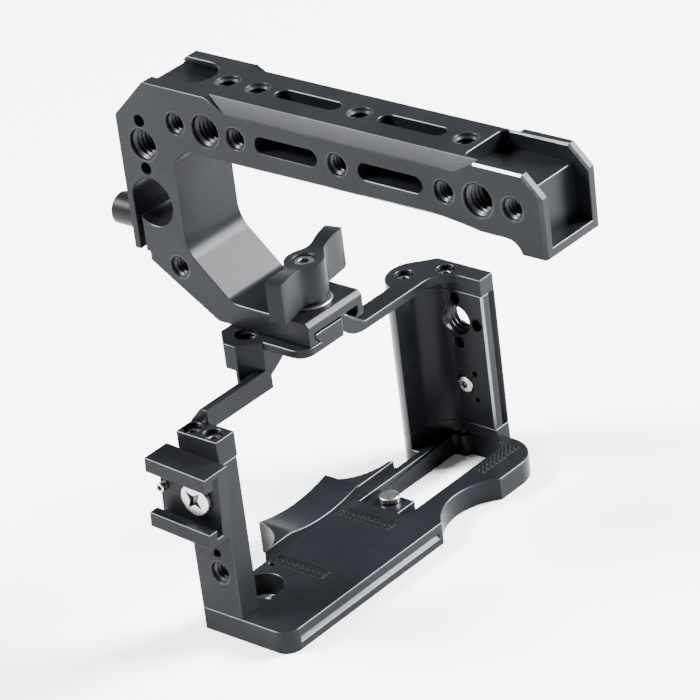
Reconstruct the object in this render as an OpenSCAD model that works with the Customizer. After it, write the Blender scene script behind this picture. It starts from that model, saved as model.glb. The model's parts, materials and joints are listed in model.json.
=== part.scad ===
// Camera cage with a sliding top handle: a milled base plate, a left post, a right wall with
// an accessory rail, a stepped top bar with a dovetail rail, and a slotted handle on that rail.
// Millimetres, +Z up, +Y towards the lens, +X towards the camera's grip.
// The origin lies on the base plate's underside, below the lens axis, at half of its depth.

/* [Base plate] */
// Distance from the lens axis to the cage's left face
base_left = 54.75; // [50:0.25:60]
// Distance from the lens axis to the base plate's right face
base_right = 64.75; // [63:0.05:68]
// Depth of the base plate behind the front lip
base_d = 31.6; // [28:0.2:38]
// Thickness of the base plate
base_t = 7.1; // [5.5:0.1:9]
// Radius of the base plate's rear left corner
base_corner_r = 5; // [2:0.5:8]
// Radius of the rounded lobe at the rear right
lobe_r = 11; // [8:0.5:12]
// Length of the concave scoop in the rear edge
scoop_len = 28; // [20:1:34]
// Depth of the scoop
scoop_depth = 6.1; // [3:0.1:7]
// Distance from the lens axis to the middle of the scoop
scoop_x = 28.3; // [24:0.5:30]
// Radius of the large round hole in the base plate
base_hole_r = 6.7; // [4:0.1:7]
// Distance from the left face to the large round hole's axis
base_hole_inset = 16.8; // [16.6:0.1:20]
// Depth of the groove along the rear face
groove_depth = 0.8; // [0.4:0.1:1.5]
// Height of the groove along the rear face
groove_h = 1.6; // [0.8:0.1:2]
// Height of the curb under the right wall
curb_h = 4.5; // [3:0.1:6]

/* [Lens support lip] */
// Width of the cradle under the lens
cradle_w = 30.6; // [26:0.2:36]
// Reach of the lip in front of the base plate
lip_reach = 12.6; // [8:0.2:16]
// Height of the lip above the plate
lip_h = 3.3; // [2:0.1:5]
// Radius of the lens barrel that the cradle clears
lens_r = 55; // [40:0.5:70]
// Length of the lip's concave left flank
flank_r = 12; // [8:0.5:14]
// Length of the lip's shallow right flank
flank_right = 16.3; // [14:0.1:18]
// Height of the right flank above the plate
flank_h = 2.3; // [1.5:0.1:3]
// Depth of the raised edge that runs on from the lip to the right
rib_t = 1.4; // [1:0.1:2.5]

/* [Battery opening] */
// Distance from the lens axis to the opening's left end
opening_left = 12.55; // [12:0.05:14]
// Distance from the lens axis to the opening's right end
opening_right = 59.25; // [54:0.25:60]
// Distance from the plate's middle to the opening's front edge
opening_front = 13.3; // [12.5:0.1:14]
// Distance from the plate's middle to the opening's rear edge
opening_rear = 4.2; // [3:0.1:5]
// Length of the tab that carries the camera screw
tab_len = 10.2; // [9.4:0.1:13.5]
// Depth of the step that the tab is lowered by
tab_drop = 2; // [1.2:0.1:3]
// Width of the free slit behind the tab
tab_slit = 5.3; // [4.5:0.1:6]

/* [Camera screw] */
// Thread radius of the camera screw
cam_thread_r = 3.175; // [2.5:0.005:3.5]
// Height that the camera screw stands above the tab
cam_screw_h = 2.2; // [1:0.1:5]
// Radius of the camera screw's head
cam_head_r = 4.6; // [4.2:0.1:5]
// Distance from the opening's left end to the camera screw
cam_screw_inset = 7; // [5.4:0.1:7.2]

/* [Seat pads] */
// Width of a knurled seat pad
pad_w = 4.4; // [3:0.1:6]
// Length of the left and middle pads
pad_len = 19; // [14:0.5:21]
// Length of the right pad
pad_right_len = 18; // [12:0.5:20]
// Depth of the recess a pad is set in
pad_seat = 0.5; // [0.3:0.1:1]
// Height that a pad stands above the plate
pad_proud = 0.3; // [0.1:0.1:0.6]

/* [Left post] */
// Width of the post, seen from the front
post_w = 7.3; // [6.8:0.1:9]
// Depth of the post
post_d = 14.8; // [13:0.2:18]
// Height of the post
post_h = 49.6; // [40:0.2:60]

/* [Side cold shoe] */
// Length of the shoe along its channel
shoe_len = 22.1; // [18.5:0.1:24]
// Height of the shoe block
shoe_h = 22.4; // [21.6:0.1:24]
// Depth of the shoe block, from the post to the lips' outer face
shoe_d = 9.5; // [8:0.1:11]
// Width of the channel under the lips
shoe_channel = 18.7; // [18.4:0.05:19.2]
// Width of the mouth between the lips
shoe_mouth = 13.2; // [12.4:0.1:14]
// Thickness of a lip
shoe_lip_t = 3.3; // [1.5:0.1:3.5]
// Height of the channel under the lips
shoe_slot = 2.2; // [2:0.1:2.6]
// Angle that the shoe is set at about its screw
shoe_tilt = 3.7; // [0:0.1:5]

/* [Right wall] */
// Distance from the lens axis to the wall's inner face
wall_in = 58.45; // [57:0.05:60]
// Thickness of the wall behind the rail
wall_t = 3.4; // [3.2:0.05:4.4]
// Radius of the hollow inside the wall, where a hand grip lies
hollow_r = 8.6; // [6:0.1:10]
// Radius of the rounded front of the wall
nose_r = 9.4; // [8.5:0.1:10.5]
// Distance from the wall's front tangent to the hollow's front
nose_t = 7.8; // [6.5:0.1:8.5]
// Distance from the plate's middle to the wall's rear edge
wall_rear = 2.4; // [1:0.1:4]
// Distance from the plate's middle to the wall's front tangent
wall_front = 26; // [24.5:0.1:27]
// Height of the wall
wall_h = 44.6; // [38:0.2:52]

/* [Accessory rail] */
// Width of the rail across its flanks
rail_w = 21.2; // [20.8:0.1:21.4]
// Width of the rail's neck
rail_neck_w = 17.6; // [17.4:0.1:18.4]
// Height of the rail above the wall
rail_t = 3.4; // [3.3:0.05:5]
// Height of the raised pads that stop a clamp
rail_stop_h = 0.5; // [0.3:0.05:0.55]

/* [Top bar] */
// Thickness of the block on the post
block_t = 7.6; // [6:0.1:9]
// Width of the block
block_w = 7.75; // [7.5:0.05:9]
// Height of the web above the block
web_step = 4.5; // [3.5:0.1:6]
// Height of the web
web_t = 6.5; // [5:0.1:8]
// Depth of the web
web_d = 6.6; // [5:0.1:8]
// Width of the web's level top
web_top_w = 2.4; // [1.5:0.1:4]
// Width of the eight-sided boss
boss_w = 15.4; // [14:0.1:15.8]
// Height of the boss and the raised plate above the web
boss_rise = 8.8; // [7:0.1:12]
// Size of the boss's corner cuts
boss_cut = 5.5; // [4.5:0.1:6.4]
// Distance from the base plate's middle back to the raised plate's rear edge
plate_rear_gap = 5.1; // [4:0.1:6.4]
// Thickness of the raised plate
plate_t = 2.5; // [2:0.1:4]
// Thickness of the arm to the right wall
arm_t = 2.8; // [2.4:0.1:4]
// Depth of the arm
arm_d = 6.9; // [5.5:0.1:7.2]
// Thickness of the arm's end over the wall
arm_end_t = 5.5; // [4.5:0.1:6.5]

/* [Dovetail rail and foot] */
// Width of the dovetail rail
dove_w = 18; // [16.5:0.1:18.4]
// Width of the dovetail's neck
dove_neck_w = 14.4; // [13.4:0.1:14.8]
// Height of the dovetail rail
dove_h = 3.1; // [2.6:0.1:3.4]
// Length of the dovetail rail
dove_len = 30.2; // [26:0.2:34]
// Sliding clearance between the foot and the dovetail
slide_gap = 0.3; // [0.25:0.01:0.35]
// Clearance between the dovetail's top and the channel's ceiling
ceiling_gap = 0.6; // [0.5:0.1:1]

/* [Handle] */
// Width of the handle
handle_w = 23.4; // [22.8:0.1:25]
// Length of the handle
handle_len = 149.85; // [146:0.05:165]
// Distance from the lens axis to the handle's middle
handle_x = -7.05; // [-9:0.05:-6]
// Thickness of the grip bar
grip_t = 18.5; // [17.8:0.1:20]
// Thickness of the front arm
front_arm_t = 20; // [19:0.1:22]
// Distance from the handle's top to the foot's underside
handle_drop = 70.8; // [68:0.1:80]
// Thickness of the foot
foot_t = 7.2; // [6.4:0.1:8]
// Distance from the handle's front to the foot's rear face
foot_reach = 62.7; // [60:0.1:64]
// Width of the chamfer along the grip's top edges
chamfer_w = 2.5; // [1.5:0.1:4]
// Height of the chamfer along the grip's top edges
grip_chamfer = 3.6; // [2:0.1:4]
// Length of the chamfer's run-out at each end
chamfer_run = 6.9; // [3:0.1:9]
// Size of the chamfer at the handle's top front corner
front_chamfer = 12.2; // [8:0.1:12.5]
// Depth that the rear end hangs below the grip, as a finger stop
hook_drop = 5; // [3:0.1:6]
// Length of a weight slot
slot_len = 22.1; // [16:0.1:24]
// Width of a weight slot
slot_w = 5; // [3.5:0.1:6]
// Depth of the open pocket in the rear end's top
pocket_depth = 5; // [3:0.1:6]
// Length of that pocket
pocket_len = 27; // [24:0.1:28]
// Thickness of the pocket's side walls
pocket_wall = 3; // [2:0.1:4]

/* [Handle cold shoe] */
// Thickness of the lips of the cold shoe in the handle
top_lip_t = 1.6; // [1.4:0.1:2]
// Depth of the whole channel below the handle's top
top_shoe_depth = 3.7; // [3.6:0.1:4.2]
// Length of the channel
top_shoe_len = 30.5; // [28:0.5:34]

/* [Threaded holes] */
// Wall radius of the small threaded holes
small_r = 3.175; // [3:0.005:3.3]
// Wall radius of the large threaded holes
large_r = 4.7625; // [4.5:0.0025:4.9]
// Countersink radius of the small threaded holes
small_sink_r = 3.6; // [3.4:0.05:4]
// Countersink radius of the large threaded holes
large_sink_r = 5.1; // [5:0.05:5.4]
// Depth of the threaded holes in the handle's sides
thread_depth = 9; // [6:0.1:10]
// Distance from a large hole's axis to its locating pin holes
pin_pitch = 7.35; // [7:0.05:7.6]
// Radius of a locating pin hole
pin_r = 1.9; // [1.5:0.1:2]

/* [Rod clamp] */
// Radius of the rod bore
rod_r = 7.5; // [7:0.01:7.6]
// Distance from the handle's front to the rod bore's axis
rod_inset = 9.59; // [9.5:0.01:10.5]
// Distance from the handle's top to the rod bore's axis
rod_drop = 37.56; // [36:0.02:39]
// Width of the clamp's slit
slit_w = 2.2; // [1.6:0.1:2.6]
// Distance from the handle's top to the clamp's lower end
clamp_drop = 54; // [53:0.1:55]
// Radius of the clamp screw's head
clamp_head_r = 4.8; // [4:0.1:5.2]
// Length of the clamp screw's head
clamp_head_len = 14.8; // [8:0.2:16]
// Thread radius of the clamp screw
clamp_thread_r = 2; // [1.8:0.05:2.5]

/* [Wing lever] */
// Distance from the wing lever's axis to the end of a wing
wing_len = 18.4; // [15:0.1:22]
// Thickness of a wing's end
wing_t = 5.4; // [4:0.1:7]
// Height of the wings
wing_h = 11.3; // [9:0.1:11.4]
// Radius of the lever's hub
hub_r = 6; // [5.4:0.1:6.5]
// Height that the wings stand above the hub
wing_rise = 1.2; // [0:0.1:2]
// Height of the lever's hub
hub_h = 12; // [11.4:0.1:14]
// Distance from the lever's axis to the foot's rear face
lever_inset = 9.2; // [7:0.1:10.5]
// Angle that the wings are turned by
wing_turn = 12.1; // [-20:0.1:40]
// Thread radius of the lever's stud
stud_r = 3; // [2.4:0.05:3.2]

/* [Hidden] */
$fn = 64;

// Overrun of every cut past the face it opens
over = 1;
// Radial clearance of a shaft in its bore
run_gap = 0.05;
// Radial clearance of a screw's head in its counterbore
head_gap = 0.3;

// Heights above the base plate's underside
curb_top = base_t + curb_h;
post_top = base_t + post_h;
block_top = post_top + block_t;
web_top = block_top + web_step;
web_bottom = web_top - web_t;
plate_top = web_top + boss_rise;
plate_bottom = plate_top - plate_t;
wall_top = curb_top + wall_h;
arm_top = wall_top + arm_end_t;
foot_bottom = plate_top + slide_gap;
foot_top = foot_bottom + foot_t;
handle_top = foot_bottom + handle_drop;
grip_bottom = handle_top - grip_t;

// Depths, with the plate's middle at zero
base_front = base_d / 2;
base_rear = -base_d / 2;
foot_rear = -plate_rear_gap;
handle_front = foot_rear + foot_reach;
handle_rear = handle_front - handle_len;

// Small socket screws that hold the bar and the base
screw_r = 1.25;
screw_head_r = 2.45;
screw_head_h = 2.2;
screw_sink = 3.6;
screw_len = 10;
ear_screw_len = 6.8;
hex_r = 1.2;
hex_depth = 1.2;

// Post and what it carries
post_left = -base_left;
post_right = post_left + post_w;
post_front = base_front;
post_rear = post_front - post_d;
post_screw_shares = [0.3, 0.79];
post_hole_share = 0.279;
post_hole_z = base_t + post_hole_share * post_h;

// Wall outline
nose_inset = 5.9;
nose_x = wall_in - nose_inset;
nose_y = wall_front - nose_r;
hollow_y = wall_front - nose_t - hollow_r;
nose_angle = 55;
nose_tip_share = 0.99;
ear_inset = 0.15;
ear_right = base_right - ear_inset;
ear_corner_rise = 1.5;
ear_corner_y = nose_y + ear_corner_rise;
wall_out = wall_in + wall_t;

// Points on an arc, from one angle to another
function arc(cx, cy, r, a0, a1, n = 8) =
    [for (i = [0 : n]) let (a = a0 + (a1 - a0) * i / n) [cx + r * cos(a), cy + r * sin(a)]];

// An outline in Y and Z, drawn out along X
module along_x(x0, len) {
    translate([x0, 0, 0]) rotate([90, 0, 90]) linear_extrude(height = len) children();
}

// An outline in X and Z, drawn out along Y
module along_y(y0, len) {
    translate([0, y0 + len, 0]) rotate([90, 0, 0]) linear_extrude(height = len) children();
}

// A box between two corners
module span(a, b) {
    translate(a) cube(b - a);
}

// A threaded hole's cutter with a bevelled mouth, running up from z = 0
module tapped(r, sink_r, depth) {
    rotate_extrude()
        polygon([[0, -over], [sink_r, -over], [sink_r, 0], [r, sink_r - r], [r, depth], [0, depth]]);
}

// A slot's cutter with round ends along Y, running along X from x = 0
module slot_x(len, width, depth) {
    rotate([90, 0, 90]) translate([0, 0, -over]) linear_extrude(height = depth + over) {
        square([len - width, width], center = true);
        for (side = [-1, 1]) translate([side * (len - width) / 2, 0]) circle(r = width / 2);
    }
}

// A socket screw that points down, with the top of its head at z = 0
module socket_screw(r, head_r, head_h, len, key_r, key_depth) {
    difference() {
        union() {
            translate([0, 0, -head_h]) cylinder(r = head_r, h = head_h);
            translate([0, 0, -head_h - len]) cylinder(r = r, h = len + head_h / 2);
        }
        translate([0, 0, -key_depth]) cylinder(r = key_r, h = key_depth + over, $fn = 6);
    }
}

// The cutter for such a screw, with its counterbore's mouth at z = 0
module socket_bore(r, head_r, sink, len) {
    rotate_extrude()
        polygon([
            [0, over], [head_r + head_gap, over], [head_r + head_gap, -sink],
            [r + run_gap, -sink], [r + run_gap, -sink - len], [0, -sink - len]
        ]);
}

// Places on the handle, from its own front and top
side_row_drop = 10.62;
side_small_shares = [0.1513, 0.299, 0.5397, 0.7824, 0.9337];
side_large_shares = [0.2262, 0.8585];
side_slot_shares = [0.42, 0.6617];
top_small_shares = [0.2276, 0.2999, 0.5406, 0.7822];
front_hole_inset = 9.18;
front_hole_drop = 19.76;
slope_hole_inset = 16.4;
slope_hole_drop = 56.5;
slope_hole_depth = 8;
end_chamfer = 5.9;
knee_inset = 5.6;
knee_drop = 2.7;
foot_flat = 34;
foot_chamfer = 1.3;
grip_corner_r = 7.5;
bend_r = 10;
bend_angle = 42;
bend_drop = 27;
blend_r = 6;
hook_len = 7.9;
hook_r = 5;
hook_step = 1.2;
hook_run = 21.4;
hook_end = 27.9;
chamfer_front = 35.1;
chamfer_rear = 21.7;
end_lip_h = 2.7;
end_pocket_len = 4.9;
pocket_corner_r = 2;
top_shoe_channel = 18.7;
top_shoe_mouth = 14.4;
top_hole_depth = 5.4;
slit_step = 0.1;
clamp_screw_drop = 49.8;
clamp_screw_len = 14;
lever_y = foot_rear + lever_inset;
washer_t = 0.8;
washer_r = 6.6;
lever_gap = 0.3;
hub_bottom = foot_top + washer_t + lever_gap;
hub_top = hub_bottom + hub_h;
wing_neck_share = 0.55;
wing_power = 1.6;
wing_steps = 8;
socket_r_share = 0.5;
socket_share = 0.35;
stud_drop_share = 0.03;
screw_below_share = 0.05;
screw_shank_share = 0.35;
socket_r = hub_r * socket_r_share;
lever_screw_r = stud_r / 2;
lever_key_r = 1.7;

// Side view of the handle, in Y and Z
module handle_outline() {
    arm_rear = handle_front - front_arm_t;
    clamp_end = handle_top - clamp_drop;
    bend_top = grip_bottom - bend_drop;
    bend_end_y = arm_rear - bend_r * (1 - sin(bend_angle));
    bend_end_z = bend_top - bend_r * cos(bend_angle);
    slope_z = bend_end_z - foot_top - blend_r * (1 - cos(bend_angle));
    blend_y = bend_end_y - slope_z / tan(bend_angle) - blend_r * sin(bend_angle);
    hook_top = grip_bottom - hook_step;
    polygon(concat(
        [
            [handle_front, clamp_end],
            [handle_front, handle_top - front_chamfer],
            [handle_front - front_chamfer, handle_top],
            [handle_rear + end_chamfer, handle_top],
            [handle_rear, handle_top - end_chamfer],
            [handle_rear, grip_bottom - hook_drop],
            [handle_rear + hook_len, grip_bottom - hook_drop]
        ],
        arc(handle_rear + hook_len + hook_r, hook_top - hook_r, hook_r, 165, 90, 5),
        [[handle_rear + hook_run, hook_top], [handle_rear + hook_end, grip_bottom]],
        arc(arm_rear - grip_corner_r, grip_bottom - grip_corner_r, grip_corner_r, 90, 0),
        arc(arm_rear - bend_r, bend_top, bend_r, 0, bend_angle - 90),
        arc(blend_y, foot_top + blend_r, blend_r, bend_angle - 90, -90, 5),
        [
            [foot_rear + foot_chamfer, foot_top],
            [foot_rear, foot_top - foot_chamfer],
            [foot_rear, foot_bottom],
            [foot_rear + foot_flat, foot_bottom],
            [handle_front - knee_inset, clamp_end - knee_drop],
            [handle_front - knee_inset, clamp_end]
        ]
    ));
}

// The dovetail's section in X and Z, grown by a side gap and ending at a given top
module dovetail(neck, width, low, seat, top) {
    flare = (width - neck) / 2;
    polygon([
        [-neck / 2, low], [-neck / 2, seat], [-width / 2, seat + flare], [-width / 2, top],
        [width / 2, top], [width / 2, seat + flare], [neck / 2, seat], [neck / 2, low]
    ]);
}

// Everything cut into one side face of the handle, for a face at x = 0 that looks to -X
module side_cuts() {
    row_z = handle_top - side_row_drop;
    for (s = side_small_shares)
        translate([0, handle_front - s * handle_len, row_z]) rotate([0, 90, 0])
            tapped(small_r, small_sink_r, thread_depth);
    for (s = side_large_shares)
        translate([0, handle_front - s * handle_len, row_z]) rotate([0, 90, 0])
            tapped(large_r, large_sink_r, thread_depth);
    for (s = side_slot_shares)
        translate([0, handle_front - s * handle_len, row_z]) slot_x(slot_len, slot_w, thread_depth);
    translate([0, handle_front - front_hole_inset, handle_top - front_hole_drop]) rotate([0, 90, 0]) {
        tapped(large_r, large_sink_r, thread_depth);
        for (side = [-1, 1])
            translate([side * pin_pitch, 0, -over]) cylinder(r = pin_r, h = thread_depth / 2 + over);
    }
    translate([0, handle_front - slope_hole_inset, handle_top - slope_hole_drop]) rotate([0, 90, 0])
        tapped(small_r, small_sink_r, slope_hole_depth);
}

// Long chamfer along one top edge of the grip, for the edge at x = 0 with the handle at +X
module edge_chamfer() {
    y0 = handle_rear + chamfer_rear;
    y1 = handle_front - chamfer_front;
    low = chamfer_run * (1 + over / grip_chamfer);
    high = chamfer_run * over / grip_chamfer;
    intersection() {
        along_y(y0 - high, y1 - y0 + 2 * high)
            polygon([
                [-over, handle_top - grip_chamfer - over * grip_chamfer / chamfer_w],
                [chamfer_w + over, handle_top + over * grip_chamfer / chamfer_w],
                [-over, handle_top + over * grip_chamfer / chamfer_w]
            ]);
        along_x(-over, chamfer_w + 2 * over)
            polygon([
                [y0 + low, handle_top - grip_chamfer - over],
                [y0 - high, handle_top + over],
                [y1 + high, handle_top + over],
                [y1 - low, handle_top - grip_chamfer - over]
            ]);
    }
}

// Cold shoe channel in the front of the handle's top, open to the front
module top_shoe_cut() {
    half = top_shoe_channel / 2;
    end_y = handle_front - top_shoe_len + half;
    floor_z = handle_top - top_shoe_depth;
    slot_h = top_shoe_depth - top_lip_t;
    translate([0, end_y, floor_z]) cylinder(r = half, h = slot_h);
    span([-half, end_y, floor_z], [half, handle_front + over, floor_z + slot_h]);
    translate([0, end_y, floor_z]) cylinder(r = top_shoe_mouth / 2, h = top_shoe_depth + over);
    span([-top_shoe_mouth / 2, end_y, floor_z], [top_shoe_mouth / 2, handle_front + over, handle_top + over]);
}

// Pocket in the rear end of the grip, open to the top and to the rear
module rear_pocket() {
    half = handle_w / 2 - pocket_wall;
    end_y = handle_rear + pocket_len;
    translate([0, 0, handle_top - pocket_depth]) linear_extrude(height = pocket_depth + over) {
        translate([-half, handle_rear - over]) square([2 * half, pocket_len - pocket_corner_r + over]);
        translate([pocket_corner_r - half, end_y - pocket_corner_r - over])
            square([2 * half - 2 * pocket_corner_r, pocket_corner_r + over]);
        for (side = [-1, 1]) translate([side * (half - pocket_corner_r), end_y - pocket_corner_r])
            circle(r = pocket_corner_r);
    }
    span([-half, handle_rear - over, grip_bottom - hook_drop + end_lip_h],
         [half, handle_rear + end_pocket_len, handle_top + over]);
}

module rod_clamp_cut() {
    rod_z = handle_top - rod_drop;
    slit_y = handle_front - rod_inset + rod_r - slit_step;
    along_x(-over, handle_w + 2 * over) {
        translate([handle_front - rod_inset, rod_z]) circle(r = rod_r);
        polygon([
            [slit_y, rod_z], [slit_y, handle_top - clamp_drop - over],
            [slit_y - slit_w, handle_top - clamp_drop - over], [slit_y - slit_w, rod_z]
        ]);
    }
    translate([handle_w / 2, handle_front + over, handle_top - clamp_screw_drop]) rotate([90, 0, 0])
        cylinder(r = clamp_thread_r + run_gap, h = clamp_screw_len + 2 * over);
}

module handle() {
    mouth = dove_neck_w + 2 * slide_gap * (1 + sqrt(2));
    channel = dove_w + 2 * slide_gap + slide_gap;
    color("dimgray") difference() {
        translate([handle_x - handle_w / 2, 0, 0]) difference() {
            along_x(0, handle_w) handle_outline();
            side_cuts();
            translate([handle_w, 0, 0]) mirror([1, 0, 0]) side_cuts();
            edge_chamfer();
            translate([handle_w, 0, 0]) mirror([1, 0, 0]) edge_chamfer();
            rod_clamp_cut();
        }
        translate([handle_x, 0, 0]) {
            along_y(foot_rear - over, foot_flat + bend_r)
                dovetail(mouth, channel, foot_bottom - over, foot_bottom,
                         plate_top + dove_h + ceiling_gap);
            top_shoe_cut();
            rear_pocket();
            for (s = top_small_shares)
                translate([0, handle_front - s * handle_len, handle_top]) rotate([180, 0, 0])
                    tapped(small_r, small_sink_r, top_hole_depth);
            for (s = side_slot_shares)
                translate([0, handle_front - s * handle_len, handle_top]) rotate([0, 90, 0])
                    slot_x(slot_len, slot_w, top_hole_depth);
            translate([0, lever_y, foot_bottom]) cylinder(r = stud_r + run_gap, h = foot_t + over);
        }
    }
}

module rod_clamp_screw() {
    color("black") translate([handle_x, handle_front, handle_top - clamp_screw_drop]) rotate([90, 0, 0])
        difference() {
            union() {
                translate([0, 0, -clamp_head_len - head_gap]) cylinder(r = clamp_head_r, h = clamp_head_len);
                translate([0, 0, -clamp_head_len / 2])
                    cylinder(r = clamp_thread_r, h = clamp_head_len / 2 + clamp_screw_len);
            }
            translate([0, 0, -clamp_head_len - head_gap - over])
                cylinder(r = clamp_thread_r, h = clamp_thread_r + over, $fn = 6);
        }
}

// One half of the lever's wings in plan: thin beside the hub, wide and square at the end
function wing_side(side) = [for (i = [0 : wing_steps]) let (t = i / wing_steps)
    [wing_len * (side * t), wing_t / 2 * (wing_neck_share + (1 - wing_neck_share) * pow(t, wing_power))]];

module wing_plan() {
    right = wing_side(1);
    left = wing_side(-1);
    polygon(concat(
        right,
        [for (i = [wing_steps : -1 : 0]) [right[i][0], -right[i][1]]],
        [for (i = [1 : wing_steps]) [left[i][0], -left[i][1]]],
        [for (i = [wing_steps : -1 : 1]) left[i]]
    ));
}

module wing_lever() {
    socket_depth = hub_h * socket_share;
    color("black") translate([handle_x, lever_y, hub_bottom]) rotate([0, 0, wing_turn]) difference() {
        union() {
            cylinder(r = hub_r, h = hub_h);
            translate([0, 0, hub_h - wing_h]) linear_extrude(height = wing_h + wing_rise) wing_plan();
        }
        translate([0, 0, hub_h - socket_depth])
            cylinder(r = socket_r + head_gap, h = socket_depth + wing_rise + over);
        translate([0, 0, -over]) cylinder(r = stud_r + run_gap, h = hub_h);
    }
}

module lever_washer() {
    color("gray") translate([handle_x, lever_y, foot_top]) difference() {
        cylinder(r = washer_r, h = washer_t);
        translate([0, 0, -over]) cylinder(r = stud_r + head_gap, h = washer_t + 2 * over);
    }
}

// Threaded stud that the lever turns, down to the dovetail's top
module clamp_stud() {
    low = plate_top + dove_h + slide_gap;
    top = hub_top - hub_h * (socket_share + stud_drop_share);
    color("silver") translate([handle_x, lever_y, low]) difference() {
        cylinder(r = stud_r, h = top - low);
        translate([0, 0, top - low - hub_h * screw_shank_share])
            cylinder(r = lever_screw_r + run_gap, h = hub_h);
    }
}

module lever_screw() {
    head_h = hub_h * (socket_share - screw_below_share);
    color("silver") translate([handle_x, lever_y, hub_top - hub_h * screw_below_share])
        socket_screw(lever_screw_r, socket_r, head_h, hub_h * screw_shank_share, lever_key_r, head_h / 2);
}

// Boss, raised plate and arm of the top bar
boss_inset = 34.55;
boss_x = boss_inset - base_left;
plate_rear = foot_rear;
boss_y = plate_rear + dove_len - boss_w / 2;
plate_overhang = 1.85;
plate_left = boss_x - plate_overhang;
plate_corner_r = 4.5;
plate_cut_inset = 2.2;
plate_rear_right = handle_x + plate_cut_inset;
plate_side = 2.4;
plate_right = handle_x + handle_w / 2 + plate_side;
plate_cut_len = 13;
plate_front = plate_rear + dove_len;
web_step_in = 0.5;
web_front_h = 1.8;
web_rear = boss_y - boss_w / 2;
web_front = web_rear + web_d;
web_bow_r = 40;
web_bow_share = 0.6;
gusset_left = boss_x - boss_w / 2 - 2 * plate_overhang;
gusset_right = handle_x;
gusset_power = 1.5;
gusset_steps = 10;
arm_inset = 6.7;
arm_front_y = wall_front - arm_inset;
arm_rear_y = arm_front_y - arm_d;
riser_len = 17.2;
riser_end = plate_right + riser_len;
riser_top_power = 1.45;
riser_low_power = 2.6;
riser_steps = 10;
ear_hollow_r = 8;
notch_r = 2.6;
ear_screw_shift = [0.8, 3.9];
ear_screw_rise = 2;

// Outline of the wall's outside in plan, out to a given face
module wall_outside(right) {
    tip_r = nose_r * nose_tip_share;
    difference() {
        union() {
            translate([nose_x, nose_y]) circle(r = nose_r);
            translate([nose_x, -wall_rear]) square([right + over - nose_x, nose_y + wall_rear]);
            if (right > nose_x + nose_r)
                polygon([
                    [nose_x, nose_y],
                    [nose_x + tip_r * cos(nose_angle), nose_y + tip_r * sin(nose_angle)],
                    [right, ear_corner_y], [right + over, nose_y]
                ]);
        }
        translate([right, -wall_rear - over]) square([2 * nose_r, wall_front + nose_r]);
    }
}

// The room inside the wall in plan
module hollow(r, centre_y) {
    translate([wall_in - r, centre_y]) circle(r = r);
    translate([wall_in - r, -wall_rear - over]) square([r, centre_y + wall_rear + over]);
    translate([nose_x - 2 * nose_r, -wall_rear - over])
        square([wall_in - r - nose_x + 2 * nose_r, centre_y + r + wall_rear + over]);
}

module wall_plan(right) {
    difference() {
        wall_outside(right);
        hollow(hollow_r, hollow_y);
    }
}

// Places of the two screws at the wall's top
function ear_screws() = [
    [nose_x - ear_screw_shift[0], nose_y + ear_screw_shift[1]],
    [wall_in + wall_t / 2, hollow_y + ear_screw_rise]
];
function post_screws() = [for (s = post_screw_shares) [post_left + post_w / 2, post_rear + s * post_d]];

module plate_plan() {
    polygon(concat(
        [[boss_x, plate_front], [plate_left, boss_y]],
        arc(plate_left + plate_corner_r, plate_rear + plate_corner_r, plate_corner_r, 180, 270, 6),
        [
            [plate_rear_right, plate_rear],
            [plate_right, plate_rear + plate_cut_len],
            [plate_right, plate_front]
        ]
    ));
}

// Curved ramp from the raised plate down to the arm, in X and Z
module riser_outline() {
    run = riser_end - plate_right;
    low = arm_top - arm_t;
    polygon(concat(
        [[plate_right - plate_t, plate_bottom], [plate_right - plate_t, plate_top]],
        [for (i = [0 : riser_steps]) let (t = i / riser_steps)
            [plate_right + run * t, arm_top + (plate_top - arm_top) * pow(1 - t, riser_top_power)]],
        [[riser_end + arm_d, arm_top], [riser_end + arm_d, low]],
        [for (i = [riser_steps : -1 : 1]) let (t = i / riser_steps)
            [plate_right + run * t, low + (plate_bottom - low) * pow(1 - t, riser_low_power)]]
    ));
}

// Plan of the boss: a square with cut corners
module boss_plan() {
    half = boss_w / 2;
    flat = half - boss_cut;
    polygon([
        [flat, -half], [half, -flat], [half, flat], [flat, half],
        [-flat, half], [-half, flat], [-half, -flat], [-flat, -half]
    ]);
}

// Everything below the curve that the boss and its gusset end at, in X and Z
module gusset_cut() {
    run = gusset_right - gusset_left;
    rise = plate_bottom - web_bottom;
    polygon(concat(
        [[gusset_left, web_bottom - over]],
        [for (i = [0 : gusset_steps]) let (t = i / gusset_steps)
            [gusset_left + run * t, web_bottom + rise * pow(t, gusset_power)]],
        [[gusset_right, web_bottom - over]]
    ));
}

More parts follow.
